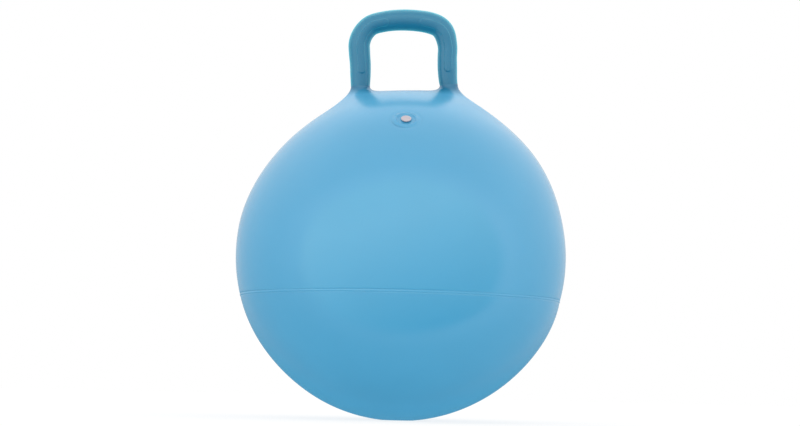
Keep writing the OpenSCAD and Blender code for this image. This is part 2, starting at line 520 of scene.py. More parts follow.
def smooth_step(value):
    """0 below 0, 1 above 1 and a smooth rise in between."""
    t = np.clip(value, 0, 1)
    return t * t * (3 - 2 * t)


def middle_height(ball):
    """Height of the ball's middle above the floor."""
    return ball.radius - ball.settle


class Dome:
    """The net of the upper skin: a square grid laid over the crown, in which three blocks of cells
    make room for rings round the two legs and the valve, and rings from the grid to the seam."""

    # Cells from the crown to a leg and to the valve, and half the width of a block
    LEG_CELLS = 12
    VALVE_CELLS = 35
    BLOCK_CELLS = 6
    # Reach of the grid, in cells: to each side, towards the valve and away from it
    SIDE_CELLS = 42
    FRONT_CELLS = 47
    BACK_CELLS = 37
    BLOCK_RINGS = 16
    SEAM_RINGS = 46
    # Rings crowd towards a leg, where the skin bends most
    RING_CROWDING = 1.9
    # The skin's edge runs on as a steep collar inside the leg
    COLLAR_INSET = 0.3 * MM
    COLLAR_SLOPE = 5
    # How steeply the left and the right root fall away towards the other leg, and outwards
    INNER_FALL = (2.3, 2.5)
    OUTER_FALL = (1.76, 1.48)

    def __init__(self, ball, valve):
        self.ball = ball
        self.valve = valve
        self.middle_z = middle_height(ball)
        ends = (TUBE_STATIONS[0], TUBE_STATIONS[-1])
        self.legs = [(x * MM, z * MM, radius * MM) for x, z, radius in ends]
        self.net = Net()

    def direction(self, across, along):
        """The direction from the ball's middle at angles across (X) and along (Y) the crown."""
        angle = np.hypot(across, along)
        turn = np.arctan2(along, across)
        return np.stack(
            [np.sin(angle) * np.cos(turn), np.sin(angle) * np.sin(turn), np.cos(angle)], -1
        )

    def leg_circle(self, side, turns, inset=0.0):
        """Directions to the points of the ball that lie under a leg's outline, or inside it."""
        leg_x, _, radius = self.legs[side]
        radius -= inset
        x = leg_x + radius * np.cos(turns)
        y = radius * np.sin(turns)
        return unit(np.stack([x, y, np.sqrt(self.ball.radius ** 2 - x ** 2 - y ** 2)], -1))

    def valve_circle(self, turns):
        """Directions to the rim of the hole for the valve's boss."""
        spread = math.asin(self.valve.boss_radius / self.ball.radius)
        axis = np.array(VALVE_AXIS)
        across = np.array([1.0, 0.0, 0.0])
        along = np.cross(axis, across)
        ring = np.cos(turns)[:, None] * across + np.sin(turns)[:, None] * along
        return math.cos(spread) * axis + math.sin(spread) * ring

    def block_outline(self):
        """Cells round a block's edge, from its middle, with the turn of each."""
        half = self.BLOCK_CELLS
        cells = []
        for quarter in range(4):
            for step in range(-half, half):
                x, y = half, step
                for _ in range(quarter):
                    x, y = -y, x
                cells.append((x, y))
        turns = [math.radians(90 * (i / (2 * half)) - 45) for i in range(8 * half)]
        return cells, np.array(turns)

    def lay_grid(self, blocks):
        """Adds the grid's points and cells, and returns the number of each grid point."""
        leg_tilt = math.atan2(self.legs[1][0], HANDLE_LOW.z - self.middle_z)
        valve_tilt = math.atan2(-VALVE_AXIS.y, VALVE_AXIS.z)
        step_across = leg_tilt / self.LEG_CELLS
        step_along = valve_tilt / self.VALVE_CELLS

        def in_block(x, y):
            return any(max(abs(x - bx), abs(y - by)) < self.BLOCK_CELLS for bx, by in blocks)

        number = {}
        for y in range(-self.FRONT_CELLS, self.BACK_CELLS + 1):
            for x in range(-self.SIDE_CELLS, self.SIDE_CELLS + 1):
                if not in_block(x, y):
                    place = self.direction(x * step_across, y * step_along)
                    number[x, y] = self.net.add([place])[0]
        for y in range(-self.FRONT_CELLS, self.BACK_CELLS):
            for x in range(-self.SIDE_CELLS, self.SIDE_CELLS):
                if not in_block(x + 0.5, y + 0.5):
                    self.net.faces.append(
                        (number[x, y], number[x + 1, y], number[x + 1, y + 1], number[x, y + 1])
                    )
        return number

    def ring_holes(self, blocks, number):
        """Fills the blocks with rings, from each block's edge to the round hole inside it."""
        cells, turns = self.block_outline()
        circles = [self.leg_circle(0, turns), self.leg_circle(1, turns), self.valve_circle(turns)]
        for (block_x, block_y), circle in zip(blocks, circles):
            outer = np.array([number[block_x + x, block_y + y] for x, y in cells])
            edge_places = np.array([self.net.points[i] for i in outer])
            for ring in range(self.BLOCK_RINGS - 1, -1, -1):
                share = (ring / self.BLOCK_RINGS) ** self.RING_CROWDING
                inner = self.net.add(list(unit(mix(circle, edge_places, share))))
                self.net.band(outer, inner)
                outer = inner
            # A leg's hole ends in its collar
            if block_y == 0:
                collar = self.leg_circle(int(block_x > 0), turns, self.COLLAR_INSET)
                self.net.band(outer, self.net.add(list(collar)))

    def ring_to_seam(self, number):
        """Adds rings from the grid's edge down to the seam."""
        rim = [(x, -self.FRONT_CELLS) for x in range(-self.SIDE_CELLS, self.SIDE_CELLS)]
        rim += [(self.SIDE_CELLS, y) for y in range(-self.FRONT_CELLS, self.BACK_CELLS)]
        rim += [(x, self.BACK_CELLS) for x in range(self.SIDE_CELLS, -self.SIDE_CELLS, -1)]
        rim += [(-self.SIDE_CELLS, y) for y in range(self.BACK_CELLS, -self.FRONT_CELLS, -1)]
        inner = np.array([number[cell] for cell in rim])
        places = np.array([self.net.points[i] for i in inner])
        angles = np.arccos(places[:, 2])
        turns = np.arctan2(places[:, 1], places[:, 0])
        seam_angle = math.acos((SEAM_Z - self.middle_z) / self.ball.radius)
        for ring in range(1, self.SEAM_RINGS + 1):
            angle = mix(angles, seam_angle, ring / self.SEAM_RINGS)
            across = np.sin(angle)
            ring_places = [across * np.cos(turns), across * np.sin(turns), np.cos(angle)]
            outer = self.net.add(list(np.stack(ring_places, -1)))
            self.net.band(outer, inner)
            inner = outer

    def build(self):
        """Lays the whole net and returns the directions of its points."""
        blocks = [(-self.LEG_CELLS, 0), (self.LEG_CELLS, 0), (0, -self.VALVE_CELLS)]
        number = self.lay_grid(blocks)
        self.ring_holes(blocks, number)
        self.ring_to_seam(number)
        return np.array(self.net.points)

    def root_height(self, x, y, side):
        """How far a leg's root lifts the skin above the round ball."""
        sign = 2 * side - 1
        leg_x, weld_z, radius = self.legs[side]
        dx = sign * (x - leg_x)
        distance = np.maximum(np.hypot(dx, y), NEAR_ZERO)
        outward = dx / distance
        foot_x = leg_x + sign * radius * outward
        foot_y = radius * y / distance
        under = np.sqrt(self.ball.radius ** 2 - foot_x ** 2 - foot_y ** 2)
        full = weld_z - self.middle_z - under
        gone = np.clip((distance - radius) / self.ball.root_reach[side], 0, 1)
        collar = self.COLLAR_SLOPE * np.clip(radius - distance, 0, self.COLLAR_INSET)
        fall = mix(self.INNER_FALL[side], self.OUTER_FALL[side], (1 + outward) / 2)
        return full * (1 - np.sqrt(gone)) ** fall + collar

    def saddle_height(self, x, y):
        """How far the pull of the two roots lifts the skin between them. The right root, which is
        the fuller one, lifts its side more."""
        half_x, half_y = 60 * MM, 50 * MM
        slope = 0.75 / 40
        # Above 2, the saddle's top is flatter and its ends are steeper than a bell's
        squareness = 2.84
        height = self.ball.saddle_rise + slope * x
        return height * np.exp(-((np.abs(x) / half_x) ** squareness) - (y / half_y) ** 2)

    def lean_bulge(self, places):
        """How far the dome's lean moves the skin out on the right and in on the left."""
        # Heights over the ball's middle, in shares of its radius, at which the lean comes and goes
        starts, full, fades, gone = 0.16, 0.79, 0.88, 0.974
        across, up = places[:, 0], places[:, 2]
        rise = smooth_step((up - starts) / (full - starts))
        fall = smooth_step((gone - up) / (gone - fades))
        return self.ball.dome_lean * across * rise * fall

    def surface(self, places):
        """Points of the skin's outer face for directions from the ball's middle."""
        x, y = self.ball.radius * places[:, 0], self.ball.radius * places[:, 1]
        upper = places[:, 2] > 0
        lift = np.zeros(len(places))
        for side in (0, 1):
            lift[upper] += self.root_height(x[upper], y[upper], side)
        lift[upper] += self.saddle_height(x[upper], y[upper])
        along = places @ np.array(VALVE_AXIS)
        from_valve = np.where(along > 0, np.sqrt(np.clip(1 - along ** 2, 0, 1)), 1)
        bulge = self.lean_bulge(places) + valve_dimple(self.ball.radius * from_valve)
        points = places * (self.ball.radius + bulge)[:, None]
        points[:, 2] += lift + self.middle_z
        return points


def valve_dimple(distance):
    """Height of the skin round the valve's boss: a shallow ring where the weld draws it in."""
    ring_radius, half_width, depth = 19.5 * MM, 2.2 * MM, 0.3 * MM
    return -depth * np.exp(-(((distance - ring_radius) / half_width) ** 2))


def thicken(piece, wall):
    """Gives a skin its wall, on the inside."""
    modifier = piece.modifiers.new("Wall", "SOLIDIFY")
    modifier.thickness = wall
    modifier.offset = -1
    modifier.use_even_offset = False


def turned(profile, count, matrix):
    """The net of a profile of (radius, height) points turned about Z, then placed by a matrix.
    A point on the axis becomes one point. The profile runs with the solid on its left."""
    net = Net()
    turns = np.linspace(0, 2 * math.pi, count, endpoint=False)
    last = None
    for radius, height in profile:
        if radius < NEAR_ZERO:
            ring = net.add([(0.0, 0.0, height)])
        else:
            ring = net.add([(radius * math.cos(t), radius * math.sin(t), height) for t in turns])
        if last is not None:
            if len(last) == 1:
                net.fan(ring[::-1], last[0])
            elif len(ring) == 1:
                net.fan(last, ring[0])
            else:
                net.band(last, ring)
        last = ring
    places = [matrix @ Vector(p) for p in net.points]
    return places, net.faces


def rounded(corners, steps=5):
    """A profile through (radius, height, setback) corners, each rounded by its setback."""
    profile = []
    for i, (x, y, setback) in enumerate(corners):
        here = Vector((x, y))
        if setback == 0 or i == 0 or i == len(corners) - 1:
            profile.append(tuple(here))
            continue
        before = Vector(corners[i - 1][:2]) - here
        after = Vector(corners[i + 1][:2]) - here
        start = here + before.normalized() * min(setback, before.length / 2)
        end = here + after.normalized() * min(setback, after.length / 2)
        for step in range(steps + 1):
            t = step / steps
            profile.append(tuple(start * (1 - t) ** 2 + here * 2 * t * (1 - t) + end * t ** 2))
    return profile


def valve_matrix(ball):
    """From a frame whose Z runs outwards along the valve, with its origin in the ball's middle."""
    turn = Vector((0, 0, 1)).rotation_difference(VALVE_AXIS)
    return Matrix.Translation((0, 0, middle_height(ball))) @ turn.to_matrix().to_4x4()


class HOPPER_OT_upper_skin(bpy.types.Operator):
    """Builds the dome with its two flared roots and the shallow dimple round the valve"""

    bl_idname = "hopper.upper_skin"
    bl_label = "Upper skin"

    def execute(self, context):
        scene = context.scene
        dome = Dome(scene.hopper_ball, scene.hopper_valve)
        points = dome.surface(dome.build())
        material = dome_material("rotomoulded_pvc_dome", scene.hopper_finish)
        piece = add_piece(
            "upper_skin_blown", points, dome.net.faces, material, "upper_skin", "ball"
        )
        thicken(piece, scene.hopper_ball.wall)
        return {"FINISHED"}


class HOPPER_OT_lower_skin(bpy.types.Operator):
    """Builds the bowl under the seam, with the flat patch on which the ball stands"""

    bl_idname = "hopper.lower_skin"
    bl_label = "Lower skin"

    def flank_bulge(self, ball, point):
        """How far the bowl's fuller flanks, the right one most, stand out at a point."""
        direction = (point - Vector((0, 0, middle_height(ball)))).normalized()
        seam = (SEAM_Z - middle_height(ball)) / ball.radius
        down = (direction.z - seam) / (-1 - seam)
        if not 0 < down < 1:
            return Vector()
        # The left flank has a fifth of the right one's bulge, and is flatter near the floor
        left_share, left_flat = 0.2, 0.9 * MM
        left_edge, right_edge, left_reach = -0.5, 0.8, 0.6
        rise = float(smooth_step((direction.x - left_edge) / (right_edge - left_edge)))
        on_left = float(smooth_step(-direction.x / left_reach))
        # The bulge is highest just below the seam
        bulge = ball.flank_bulge * mix(left_share, 1.0, rise)
        bulge *= math.sin(math.pi * math.sqrt(down)) ** 2
        flat = left_flat * on_left * math.sin(math.pi * down ** 1.5) ** 2
        return direction * (bulge - flat)

    def execute(self, context):
        scene = context.scene
        ball = scene.hopper_ball
        rings, count = 90, 288
        foot_shares = (0, 0.4, 0.7, 0.9)
        seam_radius = math.sqrt(ball.radius ** 2 - (middle_height(ball) - SEAM_Z) ** 2)
        # The bowl is the sphere through the seam and through the edge of the foot
        bowl_z = (seam_radius ** 2 + SEAM_Z ** 2 - ball.foot_radius ** 2) / (2 * SEAM_Z)
        bowl_radius = math.hypot(ball.foot_radius, bowl_z)
        start = math.acos(-bowl_z / bowl_radius)
        stop = math.acos((SEAM_Z - bowl_z) / bowl_radius)
        profile = [(ball.foot_radius * share, 0.0) for share in foot_shares]
        for i in range(rings + 1):
            angle = mix(start, stop, i / rings)
            profile.append((bowl_radius * math.sin(angle), bowl_z + bowl_radius * math.cos(angle)))
        points, faces = turned(profile, count, Matrix.Identity(4))
        points = [point + self.flank_bulge(ball, point) for point in points]
        material = skin_material(
            "rotomoulded_pvc_bowl", scene.hopper_finish, shade_share=0.93, roughness=0.14
        )
        piece = add_piece("lower_skin_bowl", points, faces, material, "lower_skin", "ball")
        thicken(piece, ball.wall)
        return {"FINISHED"}


class HOPPER_OT_seam(bpy.types.Operator):
    """Builds the thin bead that the mould leaves where the two skins meet"""

    bl_idname = "hopper.seam"
    bl_label = "Seam bead"

    def execute(self, context):
        scene = context.scene
        ball = scene.hopper_ball
        half_width = 2.0 * MM
        root_depth = 0.6 * MM
        # The ridge ends a little under the skin, and its feet run on and down from there
        ridge_sink, foot_fall = 0.03 * MM, 0.5 * MM
        # Reach of the feet and of the root, in shares of the half width
        foot_share, root_share = 1.3, 0.9
        steps, count = 27, 720
        drop = middle_height(ball) - SEAM_Z
        seam_radius = math.sqrt(ball.radius ** 2 - drop ** 2)
        # The direction out of the skin at the seam, and the one up along it
        out_r, out_z = seam_radius / ball.radius, -drop / ball.radius
        up_r, up_z = -out_z, out_r
        around = np.linspace(0, 2 * math.pi, count, endpoint=False)
        # The bead is a little uneven, as the mould's parting line leaves it
        waves = 0.12 * np.sin(7 * around + 1) + 0.08 * np.sin(23 * around)
        height = ball.bead_height * (1 + waves)
        section = [(share, True) for share in np.linspace(-foot_share, foot_share, steps)]
        section += [(root_share, False), (-root_share, False)]
        net = Net()
        rings = []
        for share, is_outside in section:
            along = share * half_width
            foot = max(abs(share) - 1, 0)
            ridge = height * math.cos(math.pi / 2 * min(abs(share), 1)) ** 2
            sunk = ridge - ridge_sink - foot_fall * foot
            out = sunk if is_outside else np.full(count, -root_depth)
            out = out - along ** 2 / (2 * ball.radius)
            radius = seam_radius + out * out_r + along * up_r
            z = SEAM_Z + out * out_z + along * up_z
            ring = np.stack([radius * np.cos(around), radius * np.sin(around), z], -1)
            rings.append(net.add(list(ring)))
        for ring, other in zip(rings, rings[1:] + rings[:1]):
            net.band(ring, other)
        material = skin_material(
            "pvc_seam_flash", scene.hopper_finish, shade_share=0.95, roughness=0.15
        )
        add_piece("seam_bead_ridge", net.points, net.faces, material, "seam_bead", "ball")
        return {"FINISHED"}


def spline(stations, steps):
    """Points on a smooth curve through stations, some steps from each to the next."""
    ends = (2 * stations[:1] - stations[1:2], stations, 2 * stations[-1:] - stations[-2:-1])
    knots = np.vstack(ends)
    points = []
    for i in range(len(stations) - 1):
        a, b, c, d = knots[i:i + 4]
        for step in range(steps):
            t = step / steps
            points.append(
                0.5 * (2 * b + (c - a) * t + (2 * a - 5 * b + 4 * c - d) * t ** 2
                       + (3 * b - a - 3 * c + d) * t ** 3)
            )
    return np.array(points + [stations[-1]])


class HandlePath:
    """The middle line of the handle, up the left leg, over the grip and down the right leg."""

    # On the legs the left pad lies a little inwards and the right one outwards
    LEFT_DROOP = math.radians(8)
    RIGHT_DROOP = math.radians(-3)
    # Points of the line from one station to the next, and on each side of the grip's top
    STATION_STEPS = 40
    TOP_STEPS = 99

    def __init__(self, handle):
        self.handle = handle
        self.points = spline(np.array(TUBE_STATIONS) * MM, self.STATION_STEPS)
        self.points[:, 2] *= handle.grip_radius / (STATION_GRIP_RADIUS * MM)
        steps = np.linalg.norm(np.diff(self.points[:, :2], axis=0), axis=1)
        self.travels = np.concatenate([[0], np.cumsum(steps)])
        self.tangents = unit(np.gradient(self.points[:, :2], axis=0))
        self.length = self.travels[-1]
        self.pads = [self.pad_reach(False), self.pad_reach(True)]

    def pad_reach(self, on_right):
        """Travels at which a pad starts and stops."""
        x, z = self.points[:, 0], self.points[:, 1]
        top = z.argmax()
        grip = slice(top - self.TOP_STEPS, top + self.TOP_STEPS)
        grip_x = (x.min() + x.max()) / 2
        foot_z = HANDLE_LOW.z + self.handle.pad_foot[on_right]
        end_x = grip_x + (1 if on_right else -1) * self.handle.pad_end[on_right]
        end = np.interp(end_x, x[grip], self.travels[grip])
        if on_right:
            return end, np.interp(-foot_z, -z[top:], self.travels[top:])
        return np.interp(foot_z, z[:top], self.travels[:top]), end

    def at(self, travel):
        """Middle, outward normal and radius of the tube at a travel, and the angle by which a pad
        lies off its front, towards the inside of the loop."""
        leg_droop = self.LEFT_DROOP if travel < self.length / 2 else self.RIGHT_DROOP
        x, z, radius = (np.interp(travel, self.travels, column) for column in self.points.T)
        dx, dz = (np.interp(travel, self.travels, column) for column in self.tangents.T)
        droop = mix(leg_droop, self.handle.pad_droop, max(dx, 0))
        return Vector((x, 0, z)), Vector((-dz, 0, dx)), radius, droop

    def stations(self):
        """Travels at which the tube has a ring, close together at a pad's ends."""
        plain_step, fine_step = 2.4 * MM, 0.5 * MM
        last_step = 0.6 * plain_step
        fine_reach = 0.7 * self.handle.pad_width
        ends = [end for pad in self.pads for end in pad]
        travels = [0.0]
        while travels[-1] < self.length - last_step:
            near = min(abs(travels[-1] - end) for end in ends) < fine_reach
            travels.append(travels[-1] + (fine_step if near else plain_step))
        travels[-1] = self.length
        return travels

    def pad_share(self, travel, across):
        """1 on a pad, 0 off it and a short rise in between, at a distance across its middle."""
        edge = 1.6 * MM
        half = self.handle.pad_width / 2
        inside = -1.0
        for start, stop in self.pads:
            along = max(start + half - travel, travel - stop + half, 0.0)
            inside = max(inside, half - math.hypot(along, across))
        return float(smooth_step(inside / edge + 0.5))


class HOPPER_OT_handle(bpy.types.Operator):
    """Builds the bent tube of the handle, with its raised grip pads front and back"""

    bl_idname = "hopper.handle"
    bl_label = "Handle"

    # Turns from the middle of a pad, in degrees, close together at the pad's edges
    QUARTER = (
        0, 3, 6, 9, 12, 15, 17.5, 18.8, 19.6, 20.4, 21.2, 22, 22.8, 24, 27, 32, 39, 47, 56, 67, 78,
    )

    def ring(self, path, travel, turns):
        """Points round the tube. A turn of 0 is the front, and 90 degrees the loop's outside."""
        handle = path.handle
        middle, normal, radius, droop = path.at(travel)
        points = []
        for turn in turns:
            off_pad = (turn + math.pi / 2) % math.pi - math.pi / 2
            reach = radius + handle.pad_rise * path.pad_share(travel, radius * off_pad)
            placed = turn - droop * math.cos(turn)
            outward = normal * math.sin(placed) + Vector((0, -math.cos(placed), 0))
            points.append(tuple(middle + outward * reach))
        return points

    def execute(self, context):
        scene = context.scene
        path = HandlePath(scene.hopper_handle)
        # The feet run on down and inwards
        tuck_down, tuck_in = 1.5 * MM, 0.35 * MM
        quarter = [math.radians(a) for a in self.QUARTER]
        half = quarter + [math.pi / 2] + [math.pi - a for a in reversed(quarter[1:])]
        turns = half + [math.pi + a for a in half]
        rings = [self.ring(path, travel, turns) for travel in path.stations()]
        # Both feet are tucked in under the roots' edges
        for place, end in ((0, rings[0]), (len(rings) + 1, rings[-1])):
            middle = Vector(np.mean(end, axis=0))
            shrink = 1 - tuck_in / (Vector(end[0]) - middle).length
            down = Vector((0, 0, tuck_down))
            foot = [tuple((Vector(p) - middle) * shrink + middle - down) for p in end]
            rings.insert(place, foot)
        net = Net()
        numbers = [net.add(ring) for ring in rings]
        for ring, other in zip(numbers, numbers[1:]):
            net.band(ring, other)
        net.fan(numbers[0][::-1], net.add([tuple(np.mean(rings[0], axis=0))])[0])
        net.fan(numbers[-1], net.add([tuple(np.mean(rings[-1], axis=0))])[0])
        material = handle_material("thick_rotomoulded_pvc", scene.hopper_finish)
        add_piece("handle_loop", net.points, net.faces, material, "handle", "ball")
        return {"FINISHED"}


class HOPPER_OT_valve_seat(bpy.types.Operator):
    """Builds the valve's boss: a raised ring round a flat, a flange and a bored neck"""

    bl_idname = "hopper.valve_seat"
    bl_label = "Valve seat"

    def execute(self, context):
        scene = context.scene
        ball, valve = scene.hopper_ball, scene.hopper_valve
        count = 120
        # The ring falls to the flat over one width, and its weld skirt runs out by another
        ring_width, skirt_width = 2.6 * MM, 2.6 * MM
        neck_wall, plate_thickness = 3.4 * MM, 3 * MM
        recess_depth = 0.25 * MM
        skirt_radius = valve.boss_radius + skirt_width
        flange_radius = valve.boss_radius + 6 * MM
        neck_radius = valve.bore_radius + neck_wall
        recess_radius = valve.head_radius + 0.7 * MM
        flat = ball.radius - valve.boss_drop
        plate_low = flat - plate_thickness
        neck_low = flat - valve.bore_length
        crest = flat + valve.crest_height
        skirt_low = math.sqrt(ball.radius ** 2 - skirt_radius ** 2) - 0.1 * MM
        flange_top = math.sqrt((ball.radius - ball.wall) ** 2 - flange_radius ** 2)
        # The ring swells out of the flat and runs out over the skin in a weld skirt
        swell = [
            (mix(skirt_radius, valve.crest_radius, t), mix(skirt_low, crest, smooth_step(t)))
            for t in np.linspace(0, 1, 11)
        ]
        swell += [
            (valve.crest_radius - ring_width * t, mix(crest, flat, smooth_step(t)))
            for t in np.linspace(0, 1, 9)[1:]
        ]
        inside = rounded([
            (recess_radius + 1.5 * MM, flat, 0),
            (recess_radius, flat, 0.2 * MM),
            (recess_radius - 0.3 * MM, flat - recess_depth, 0.1 * MM),
            (valve.bore_radius, flat - recess_depth, 0.3 * MM),
            (valve.bore_radius, neck_low, 0),
            (neck_radius, neck_low, 0.6 * MM),
            (neck_radius, plate_low, 0.8 * MM),
            (flange_radius - 1 * MM, plate_low, 0.3 * MM),
            (flange_radius, flange_top, 0),
            (valve.boss_radius, flange_top + 0.9 * MM, 0),
            (valve.boss_radius, skirt_low - 0.2 * MM, 0),
            (skirt_radius, skirt_low - 0.1 * MM, 0),
        ])
        profile = (swell + inside + swell[:1])[::-1]
        points, faces = turned(profile, count, valve_matrix(ball))
        material = skin_material(
            "welded_pvc_boss", scene.hopper_finish, shade_share=0.96, roughness=0.16
        )
        add_piece("valve_boss", points, faces, material, "valve_seat", "ball")
        return {"FINISHED"}


class HOPPER_OT_plug(bpy.types.Operator):
    """Builds the push-in plug with its ribbed stem, rounded head, faint ring and centre dot"""

    bl_idname = "hopper.plug"
    bl_label = "Valve plug"

    def execute(self, context):
        scene = context.scene
        ball, valve = scene.hopper_ball, scene.hopper_valve
        rib_count, count = 4, 72
        ring_depth = 0.25 * MM
        stem_radius = valve.bore_radius - 0.05 * MM
        groove_radius = stem_radius - 0.5 * MM
        head_low = ball.radius - valve.boss_drop + valve.head_gap
        head_top = head_low + valve.head_thickness
        head = valve.head_radius
        pitch = valve.bore_length / (rib_count + 1)
        stem_low = head_low - valve.bore_length
        tip_low = stem_low - pitch / 2
        corners = [
            (0, tip_low, 0),
            (groove_radius / 2, tip_low, 0.4 * MM),
            (groove_radius, stem_low, 0),
        ]
        for rib in range(rib_count, 0, -1):
            top = head_low - (rib - 0.5) * pitch
            corners += [
                (groove_radius, top - pitch / 2, 0),
                (stem_radius, top - pitch / 4, 0.1 * MM),
                (stem_radius, top, 0.1 * MM),
                (groove_radius, top, 0),
            ]
        corners += [
            (groove_radius, head_low, 0),
            (head, head_low, 0.3 * MM),
            (head, head_top - 0.1 * MM, 0.55 * MM),
            (head * 0.66, head_top, 0.15 * MM),
            (head * 0.6, head_top - ring_depth, 0.15 * MM),
            (head * 0.54, head_top, 0.15 * MM),
            (head * 0.27, head_top, 0.2 * MM),
            (head * 0.2, head_top - ring_depth, 0.2 * MM),
            (head * 0.13, head_top, 0.2 * MM),
            (0, head_top, 0),
        ]
        points, faces = turned(rounded(corners), count, valve_matrix(ball))
        material = plug_material("moulded_hard_pvc", scene.hopper_finish)
        add_piece("valve_stopper", points, faces, material, "valve_plug", "plug")
        return {"FINISHED"}


class StageSettings(bpy.types.PropertyGroup):
    """The camera's place and the strength of the lights."""

    camera_distance: FloatProperty(
        name="Camera distance",
        description="Distance of the camera from the ball's middle, along the floor",
        default=2.5,
        unit="LENGTH",
    )
    camera_height: FloatProperty(
        name="Camera height",
        description="Height of the camera above the floor",
        default=0.0426,
        unit="LENGTH",
    )
    camera_turn: FloatProperty(
        name="Camera turn",
        description="Angle of the camera round the ball, to the left of the front",
        default=math.radians(1.04),
        subtype="ANGLE",
    )
    camera_roll: FloatProperty(
        name="Camera roll",
        description="How far the ball looks rolled clockwise in the picture",
        default=math.radians(1.35),
        subtype="ANGLE",
    )
    tent_light: FloatProperty(
        name="Tent light",
        description="Strength of the even light from the white tent round the ball",
        default=1.12,
    )
    front_power: FloatProperty(
        name="Front light",
        description="Power of the soft light beside the camera, in watts",
        default=4.0,
    )


class HOPPER_OT_stage(bpy.types.Operator):
    """Builds the white studio: floor, light tent, soft lamp and the camera"""

    bl_idname = "hopper.stage"
    bl_label = "Studio"

    def floor(self, scene):
        """A white acrylic table, lit from below: its glow keeps the ball's underside bright, and
        its matt face still takes a faint shadow. The gloss mirrors the dim room in its place."""
        half = 6.0
        matt_share = 0.2
        table_glow = 0.9
        camera_glow = 0.8
        mesh = bpy.data.meshes.new("studio_table")
        corners = [(-half, -half, 0), (half, -half, 0), (half, half, 0), (-half, half, 0)]
        mesh.from_pydata(corners, [], [(0, 1, 2, 3)])
        material, tree = new_material("matt_white_acrylic_table")
        rays = add_node(tree, "ShaderNodeLightPath")
        matt = add_node(tree, "ShaderNodeBsdfDiffuse", {}, {"Color": (*[matt_share] * 3, 1)})
        from_below = add_node(tree, "ShaderNodeEmission", {}, {"Strength": table_glow})
        seen = add_node(tree, "ShaderNodeEmission", {}, {"Strength": camera_glow})
        glow = add_node(
            tree, "ShaderNodeMixShader", {}, {},
            {0: rays.outputs["Is Camera Ray"], 1: from_below.outputs[0], 2: seen.outputs[0]},
        )
        both = add_node(
            tree, "ShaderNodeAddShader", {}, {}, {0: matt.outputs[0], 1: glow.outputs[0]}
        )
        add_node(tree, "ShaderNodeOutputMaterial", {}, {}, {"Surface": both.outputs[0]})
        mesh.materials.append(material)
        floor = bpy.data.objects.new("studio_table", mesh)
        floor.visible_glossy = False
        scene.collection.objects.link(floor)

    def mirrored_room(self, tree):
        """The room as the glossy skin mirrors it, by its direction: a white tent, brighter above
        and dim below, and in front an oval opening to a cooler, darker room."""
        place = add_node(tree, "ShaderNodeTexCoord").outputs["Generated"]
        # Distance from the opening's middle, where 1 is its edge
        oval = add_node(
            tree, "ShaderNodeMapping", {},
            {"Location": (0.0, 0.6, 0.06), "Scale": (0.96, 0.6, 1.21)}, {"Vector": place},
        )
        distance = add_node(
            tree, "ShaderNodeVectorMath", {"operation": "LENGTH"}, {}, {0: oval.outputs[0]}
        ).outputs["Value"]
        outside = add_node(
            tree, "ShaderNodeMapRange", {"interpolation_type": "SMOOTHSTEP"},
            {"From Min": 0.95, "From Max": 1.06}, {"Value": distance},
        )
        # The tent's hem round the opening is a little brighter
        hem = add_node(
            tree, "ShaderNodeMapRange", {"interpolation_type": "SMOOTHSTEP"},
            {"From Min": 1.05, "From Max": 1.2, "To Min": 1.28, "To Max": 1.0},
            {"Value": distance},
        )
        # The tent brightens upwards and to the front
        tent_rise = rise_along(tree, place, (0.08, -0.38, 0.84), -0.95, 0.45, 0.04, 1.4)
        tent_light = add_node(
            tree, "ShaderNodeVectorMath", {"operation": "SCALE"}, {0: (0.99, 1.07, 1.14)},
            {"Scale": tent_rise},
        )
        hem_light = add_node(
            tree, "ShaderNodeVectorMath", {"operation": "SCALE"}, {},
            {0: tent_light.outputs[0], "Scale": hem.outputs["Result"]},
        )
        # Low behind the ball the table holds the ball's own blue shine
        shine = rise_along(tree, place, (0.0, 0.9, -0.43), 0.8, 0.97, curve="SMOOTHSTEP")
        tent_and_table = add_node(
            tree, "ShaderNodeMix", {"data_type": "VECTOR"}, {VECTOR_B: (0.1, 0.33, 0.5)},
            {"Factor": shine, VECTOR_A: hem_light.outputs[0]},
        )
        # The room in the opening is dim and blue below, and brightens upwards and to the left
        room_rise = rise_along(tree, place, (-0.58, 0.0, 1.75), -1.5, 0.72)
        room_light = add_node(
            tree, "ShaderNodeMix", {"data_type": "VECTOR"},
            {VECTOR_A: (0.0, 0.18, 0.3), VECTOR_B: (2.05, 2.45, 2.25)}, {"Factor": room_rise},
        )
        both = add_node(
            tree, "ShaderNodeMix", {"data_type": "VECTOR"}, {},
            {
                "Factor": outside.outputs["Result"],
                VECTOR_A: room_light.outputs[VECTOR_MIX],
                VECTOR_B: tent_and_table.outputs[VECTOR_MIX],
            },
        )
        return both.outputs[VECTOR_MIX]

    def sky(self, scene, strength):
        """Even light from the tent. The camera sees it as plain white, and the gloss sees the
        tent with its opening."""
        world = bpy.data.worlds.new("white_light_tent")
        world.use_nodes = True
        tree = world.node_tree
        tree.nodes.clear()
        white_colour = (1, 1, 1, 1)
        rays = add_node(tree, "ShaderNodeLightPath")
        even = add_node(
            tree, "ShaderNodeBackground", {}, {"Color": white_colour, "Strength": strength}
        )
        white = add_node(
            tree, "ShaderNodeBackground", {}, {"Color": white_colour, "Strength": 1.0}
        )
        room = self.mirrored_room(tree)
        mirrored = add_node(tree, "ShaderNodeBackground", {}, {"Strength": 1.0}, {"Color": room})
        unseen = add_node(
            tree, "ShaderNodeMixShader", {}, {},
            {0: rays.outputs["Is Glossy Ray"], 1: even.outputs[0], 2: mirrored.outputs[0]},
        )
        light = add_node(
            tree, "ShaderNodeMixShader", {}, {},
            {0: rays.outputs["Is Camera Ray"], 1: unseen.outputs[0], 2: white.outputs[0]},
        )
        add_node(tree, "ShaderNodeOutputWorld", {}, {}, {"Surface": light.outputs[0]})
        scene.world = world

